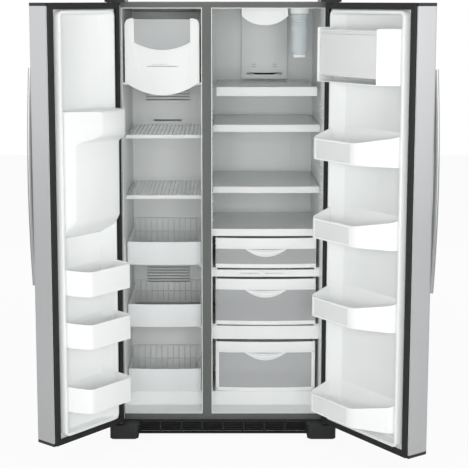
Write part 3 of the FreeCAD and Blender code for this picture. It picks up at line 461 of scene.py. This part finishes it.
def drawn_lining(bm, x0, x1, hinge_way):
    """The raised rim and the sunken panel, pressed step by step from one flat face."""
    z0, z1 = 108.0, 1716.0
    panel = bm.faces.new([bm.verts.new(p) for p in ((x0, SKIN_BACK, z0), (x0, SKIN_BACK, z1),
                                                    (x1, SKIN_BACK, z1), (x1, SKIN_BACK, z0))])
    bmesh.ops.bevel(bm, geom=list(panel.verts), offset=22.0, segments=5, profile=0.5, affect="VERTICES",
                    material=-1, clamp_overlap=True)
    panel = bm.faces[:][-1]
    out = bmesh.ops.extrude_face_region(bm, geom=[panel])["geom"]
    panel = next(g for g in out if isinstance(g, bmesh.types.BMFace))
    bmesh.ops.translate(bm, vec=(0.0, RIM - 3.0 - SKIN_BACK, 0.0), verts=panel.verts)
    for inward, height in ((0.9, RIM - 0.9), (2.1, RIM), (7.0, RIM), (2.1, RIM - 0.9), (0.9, RIM - 3.0),
                           (4.0, PANEL + 2.0), (2.5, PANEL)):
        bmesh.ops.inset_region(bm, faces=[panel], thickness=inward, use_even_offset=True)
        for vert in panel.verts:
            vert.co.y = height
            if near(height, PANEL + 2.0, 0.1) and (vert.co.x - (x0 + x1) / 2.0) * hinge_way > 0.0:
                vert.co.x -= hinge_way * 46.0


def foam_core(name, node, body, place):
    """The foam between skin and lining, trimmed where the lining's bulges begin."""
    bm = bmesh.new()
    bm.from_mesh(frame["nodes"][node].data)
    bm.transform(place.inverted())
    bmesh.ops.remove_doubles(bm, verts=bm.verts, dist=0.01)
    bmesh.ops.bisect_plane(bm, geom=bm.verts[:] + bm.edges[:] + bm.faces[:], plane_co=(0.0, -18.0, 0.0),
                           plane_no=(0.0, 1.0, 0.0), clear_outer=True)
    bmesh.ops.holes_fill(bm, edges=[e for e in bm.edges if e.is_boundary], sides=0)
    piece(name, bm, [foam], body, place, replaces=[node])


foam_core("freezer_foam_core", "freezer_door_foam", "freezer_door", FREEZER_DOOR)
foam_core("fresh_foam_core", "fresh_door_foam", "fresh_door", FRESH_DOOR)

low, high = span("freezer_door_liner", FREEZER_DOOR)
bm = bmesh.new()
drawn_lining(bm, -388.0, -101.0, -1.0)
block(bm, (low[0], low[1], low[2]), (high[0], SKIN_BACK, high[2]), 0.6)
# The chute housing rises ring by ring; its hinge corner is rounded and its free side slants back.
a, b = -374.0, -115.0
loops = []
for z, y in ((868.0, -10.0), (880.0, 2.0), (902.0, 24.0), (919.0, 38.0), (938.0, 49.0), (1080.0, 50.0),
             (1222.0, 50.0), (1232.0, 62.0), (1250.0, 98.0), (1260.0, 108.0), (1272.0, 110.0), (1340.0, 110.0),
             (1346.0, 104.0)):
    corner = 26.0 * max(0.0, y - 70.0) / 40.0
    slant = b - 108.0 * max(0.0, y - 30.0) / 80.0
    cheek = min(y - 1.0, 96.0) if y > 70.0 else y - 1.0
    plan = [(a, SKIN_BACK), (a, min(y - 4.0, 70.0)), (a + 2.0 + 0.5 * corner, cheek),
            (a + 8.0 + corner, y), (slant - 6.0, y), (slant - 1.0 if y > 34.0 else b - 4.0, y - 2.0),
            (b, min(y - 4.0, 27.0)), (b, SKIN_BACK)]
    loops.append([bm.verts.new((px, py, z)) for px, py in plan])
for loop in loops:
    for i in range(8):
        bm.edges.new((loop[i], loop[(i + 1) % 8]))
for under, over in zip(loops, loops[1:]):
    bmesh.ops.bridge_loops(bm, edges=[bm.edges.get((loop[i], loop[(i + 1) % 8])) for loop in (under, over)
                                      for i in range(8)])
bm.faces.new(loops[0])
bm.faces.new(loops[-1])
piece("freezer_door_lining", bm, [lining], "freezer_door", FREEZER_DOOR, replaces=["freezer_door_liner"],
      sharp=50.0)

low, high = span("fresh_door_liner", FRESH_DOOR)
bm = bmesh.new()
drawn_lining(bm, -25.0, 388.0, 1.0)
block(bm, (low[0], low[1], low[2]), (high[0], SKIN_BACK, high[2]), 0.6)
piece("fresh_door_lining", bm, [lining], "fresh_door", FRESH_DOOR, replaces=["fresh_door_liner"], sharp=50.0)


# ---------------------------------------------------------------------------------------
# The door bins. Deep trays cut back on the free side so that they clear the divider as
# the door swings: white on the freezer door, and on the other white with a clear front.

bin_clear = clear("clear_bin_window", "f6f7f7", 0.55, 0.12, edge_cover=0.3)


def door_bin(bm, hinge, free, corner, z0, z1, rise, window):
    way = 1.0 if free > hinge else -1.0
    front, wall = 110.0, 2.5
    plan = [(hinge, SKIN_BACK), (hinge, front), (free - way * corner, front), (free, 30.0), (free, SKIN_BACK)]
    floor = bm.faces.new([bm.verts.new((x, y, z0)) for x, y in plan])
    out = bmesh.ops.extrude_face_region(bm, geom=[floor])["geom"]
    grown = [g for g in out if isinstance(g, bmesh.types.BMVert)]
    bmesh.ops.translate(bm, vec=(0.0, 0.0, z1 - z0), verts=grown)
    rounded = [e for v in grown for e in v.link_edges
               if near(e.verts[0].co.x, e.verts[1].co.x) and near(e.verts[0].co.y, e.verts[1].co.y)
               and e.verts[0].co.y > 20.0]
    bmesh.ops.bevel(bm, geom=rounded, offset=19.0, segments=6, profile=0.5, affect="EDGES", material=-1,
                    clamp_overlap=True)
    shell = set(bm.faces)
    lid = next(f for f in shell if all(near(v.co.z, z1, 0.1) for v in f.verts))
    for vert in lid.verts:
        vert.co.z += rise * (front - vert.co.y) / (front - SKIN_BACK)
    if window:
        face = next(f for f in shell if f is not lid and len(f.verts) == 4
                    and all(near(v.co.y, front, 0.1) for v in f.verts) and f.calc_area() > 3000.0)
        bmesh.ops.inset_individual(bm, faces=[face], thickness=6.0, depth=0.0, use_even_offset=True)
        bmesh.ops.inset_individual(bm, faces=[face], thickness=0.9, depth=-0.9, use_even_offset=True)
        face.material_index = 1
    bmesh.ops.delete(bm, geom=[lid], context="FACES_ONLY")
    bmesh.ops.recalc_face_normals(bm, faces=bm.faces[:])
    bmesh.ops.solidify(bm, geom=bm.faces[:], thickness=wall)


def bins(name, node, body, place, hinge, free, rise, window, levels):
    bm = bmesh.new()
    for z0, z1, corner in levels:
        one = bmesh.new()
        door_bin(one, hinge, free, corner, z0, z1, rise, window)
        scrap = bpy.data.meshes.new("scrap")
        one.to_mesh(scrap)
        one.free()
        bm.from_mesh(scrap)
        bpy.data.meshes.remove(scrap)
    return piece(name, bm, [abs_white, bin_clear], body, place, replaces=node, sharp=40.0)


bins("freezer_door_trays", ["freezer_door_bins"], "freezer_door", FREEZER_DOOR, -374.0, -115.0, 4.0, False,
     ((658.0, 752.0, 34.0), (457.0, 550.0, 34.0), (207.0, 301.0, 34.0)))
bins("fresh_door_trays", [], "fresh_door", FRESH_DOOR, 374.0, -11.0, 42.0, True,
     ((1156.0, 1237.0, 137.0), (852.0, 930.0, 137.0), (545.0, 622.0, 137.0), (163.0, 236.0, 137.0)))

# The dairy box: a floor, a thin end on the hinge side, a broad slanted end on the free
# side, and a clear flap that swings up on a rod through both ends.
x0, x1, flank, z0, z1 = -11.0, 374.0, 56.0, 1449.0, 1653.0
bm = bmesh.new()
prism(bm, [(x0, SKIN_BACK, z0), (x0, 26.0, z0), (x0 + flank, 88.0, z0), (x0 + flank, SKIN_BACK, z0)],
      (0.0, 0.0, z1 - z0), bevel=5.0, segments=4)
block(bm, (x1 - 6.0, SKIN_BACK, z0), (x1, 88.0, z1), 2.4, 3)
block(bm, (x0 + flank, SKIN_BACK, z0), (x1, 84.0, z0 + 4.0), 1.8, 3)
block(bm, (x0 + flank, SKIN_BACK, 1548.0), (x1 - 6.0, 60.0, 1551.0), 1.0, 2)
piece("dairy_box", bm, [abs_white], "fresh_door", FRESH_DOOR, replaces=["fresh_door_bins"])

low, high = span("dairy_cover", FRESH_DOOR)
c0, c1 = x0 + flank + 0.8, x1 - 6.8
bm = bmesh.new()
rod(bm, (c0 - 4.0, 74.0, z1 - 12.0), (c1 + 4.0, 74.0, z1 - 12.0), 2.9, 16, material=1)
rod(bm, (c0, 74.0, z1 - 12.0), (c1, 74.0, z1 - 12.0), 5.8, 20)
block(bm, (c0, 77.0, 1473.0), (c1, 80.0, z1 - 14.0), 1.2, 2)
for z in (1473.0, z1 - 26.0):
    block(bm, (c0, 76.4, z), (c1, 80.0, z + 5.0), 1.4, 3, material=1)
for x in (c0, c1 - 5.0):
    block(bm, (x, 76.4, 1473.0), (x + 5.0, 80.0, z1 - 22.0), 1.4, 3, material=1)
piece("dairy_flap", bm, [bin_clear, milky], "dairy_cover", FRESH_DOOR, replaces=["dairy_cover"])


# ---------------------------------------------------------------------------------------
# The doors' outsides. A stainless sheet folded round the front and sides, brushed along
# its height, between black moulded caps; a tubular steel handle stands on two posts, and
# a soft black magnetic seal runs round the inside.
# Brushing draws fine upright lines that spread reflections sideways.

# Real brushing is finer than a tenth of a millimetre; it is drawn coarser so that it shows.
dress(finish("brushed_stainless", "cfd0d1", "c6c7c8", 0.36, grain_mm=1.6, relief_mm=0.012,
             stretch=(1, 1, 0.012), drift_mm=500.0, Metallic=1.0), "freezer_door_skin", "fresh_door_skin")
dress(finish("satin_steel_tube", "bcbebf", "b0b2b3", 0.2, grain_mm=1.4, relief_mm=0.008, stretch=(1, 1, 0.02),
             Metallic=1.0), "freezer_door_handle", "fresh_door_handle")
dress(seal_black, "freezer_door_gasket", "fresh_door_gasket")
black_abs = finish("grained_black_abs", "161617", "0f0f10", 0.48, grain_mm=1.4, relief_mm=0.05, worn="202021")
dress(black_abs, "freezer_door_caps", "fresh_door_caps", "dispenser_panel", "dispenser_paddle", "drip_tray",
      "hinge_covers", "base_grille")

# Rounded corner posts moulded inside the two foot covers at the ends of the base grille.
bm = bmesh.new()
for x in (-436.0, -358.0, 358.0, 436.0):
    rod(bm, (x, -67.0, 7.0), (x, -67.0, 61.0), 17.6, 40)
piece("foot_cover_corners", bm, [black_abs], "cabinet")


# ---------------------------------------------------------------------------------------
# The machine compartment. A black enamelled compressor, a finned condenser with its fan,
# and a drip pan over the base, behind the slotted cover at the back.

dress(finish("compressor_enamel", "222223", "161617", 0.36, grain_mm=5.0, relief_mm=0.05, worn="3a3a3c"),
      "compressor", "condenser")
dress(finish("plain_black_polypropylene", "262627", "1c1c1d", 0.5, grain_mm=2.0, relief_mm=0.04),
      "condenser_shroud", "condenser_fan", "drain_pan", "cord_gland", "rear_rollers")
dress(finish("mill_aluminium", "c4c7c9", "b0b4b7", 0.36, grain_mm=1.0, relief_mm=0.02, drift_mm=40.0,
             Metallic=1.0), "evaporator")


# ---------------------------------------------------------------------------------------
# The studio. A pale floor, a white room, broad soft lamps, and a camera that stands in
# front at the height of the case's top.

camera = bpy.data.objects.new("camera", bpy.data.cameras.new("camera"))
bpy.context.scene.collection.objects.link(camera)
bpy.context.scene.camera = camera
camera.data.lens = 95.903
camera.data.shift_x = 0.0299
camera.data.shift_y = -0.12
camera.location = (-0.0391, -5.0323, 1.7589)
camera.rotation_euler = (math.radians(90.0 - 8.185), 0.0, 0.0)

world = bpy.data.worlds.new("white_room")
bpy.context.scene.world = world
world.use_nodes = True
tree = world.node_tree
tree.nodes.clear()
ray = add(tree, "ShaderNodeLightPath")
direct = add(tree, "ShaderNodeMath", {0: ray.outputs["Is Camera Ray"], 1: ray.outputs["Is Glossy Ray"]},
             operation="ADD")
direct = add(tree, "ShaderNodeMath", {0: direct.outputs[0], 1: ray.outputs["Is Transmission Ray"]},
             operation="ADD")
shown_sky = add(tree, "ShaderNodeMapRange", {0: direct.outputs[0], 3: 0.5, 4: 1.0})
sky = add(tree, "ShaderNodeBackground", {"Color": (1.0, 1.0, 1.0, 1.0), "Strength": shown_sky.outputs[0]})
add(tree, "ShaderNodeOutputWorld", {"Surface": sky.outputs[0]})

bm = bmesh.new()
bmesh.ops.create_grid(bm, x_segments=1, y_segments=1, size=9.0)
mesh = bpy.data.meshes.new("floor")
bm.to_mesh(mesh)
bm.free()
floor = bpy.data.objects.new("floor", mesh)
bpy.context.scene.collection.objects.link(floor)
floor_paint = bpy.data.materials.new("white_floor")
floor_paint.use_nodes = True
tree = floor_paint.node_tree
tree.nodes.clear()
ray = add(tree, "ShaderNodeLightPath")
grit = add(tree, "ShaderNodeTexNoise", {"Scale": 40.0})
tone = add(tree, "ShaderNodeMix", {"Factor": grit.outputs[0], 6: linear("f2f2f2"), 7: linear("f5f5f5")},
           data_type="RGBA")
paint = add(tree, "ShaderNodeBsdfPrincipled", {"Base Color": tone.outputs[2], "Roughness": 0.8})
glow = add(tree, "ShaderNodeEmission", {"Color": (1.0, 1.0, 1.0, 1.0), "Strength": 1.0})
part_lit = add(tree, "ShaderNodeMath", {0: ray.outputs["Is Camera Ray"], 1: 0.92}, operation="MULTIPLY")
blend = add(tree, "ShaderNodeMixShader", {0: part_lit.outputs[0], 1: paint.outputs[0], 2: glow.outputs[0]})
add(tree, "ShaderNodeOutputMaterial", {"Surface": blend.outputs[0]})
mesh.materials.append(floor_paint)

for name, energy, size, spot in (("front_lamp", 88.0, (2.4, 1.6), (0.0, -4.8, 1.5)),
                                 ("left_lamp", 24.0, (1.6, 2.4), (-3.4, -2.6, 1.6)),
                                 ("right_lamp", 24.0, (1.6, 2.4), (3.4, -2.6, 1.6)),
                                 ("back_lamp", 34.0, (3.0, 2.0), (0.0, 4.2, 2.6))):
    data = bpy.data.lights.new(name, "AREA")
    data.shape = "RECTANGLE"
    data.energy = energy
    data.size, data.size_y = size
    light = bpy.data.objects.new(name, data)
    bpy.context.scene.collection.objects.link(light)
    light.location = spot
    light.visible_glossy = name != "front_lamp"
    light.rotation_euler = (Vector((0.0, 0.0, 0.9)) - Vector(spot)).to_track_quat("-Z", "Y").to_euler()

bpy.context.scene.view_settings.view_transform = "Standard"
